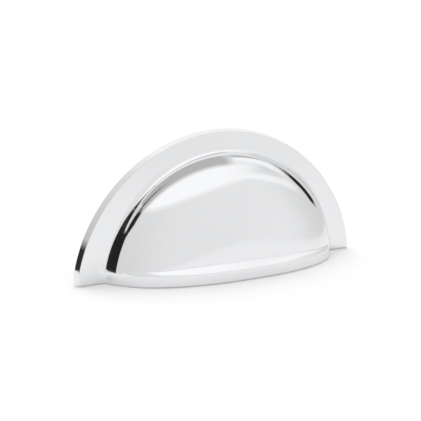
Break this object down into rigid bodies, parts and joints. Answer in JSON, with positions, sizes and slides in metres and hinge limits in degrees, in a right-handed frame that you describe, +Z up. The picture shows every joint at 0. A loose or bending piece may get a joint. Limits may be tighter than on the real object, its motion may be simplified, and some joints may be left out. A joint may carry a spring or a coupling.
{
  "type": "cup pull",
  "caption": "Half-round chrome cup pull for a drawer: an arched flat flange, a hollow domed cup open below for the fingers, and a flared lip along its rim.",
  "frame": {"origin": "on the mounting face, midway between the two screw holes", "axes": "+Y into the drawer front, +Z up towards the top of the arch, +X across to the right seen from the front"},
  "size_m": [0.103, 0.02, 0.0455],
  "materials": {
    "chrome": "polished chrome plate"
  },
  "bodies": {
    "root": {"cup_pull": "chrome"}
  },
  "joints": []
}
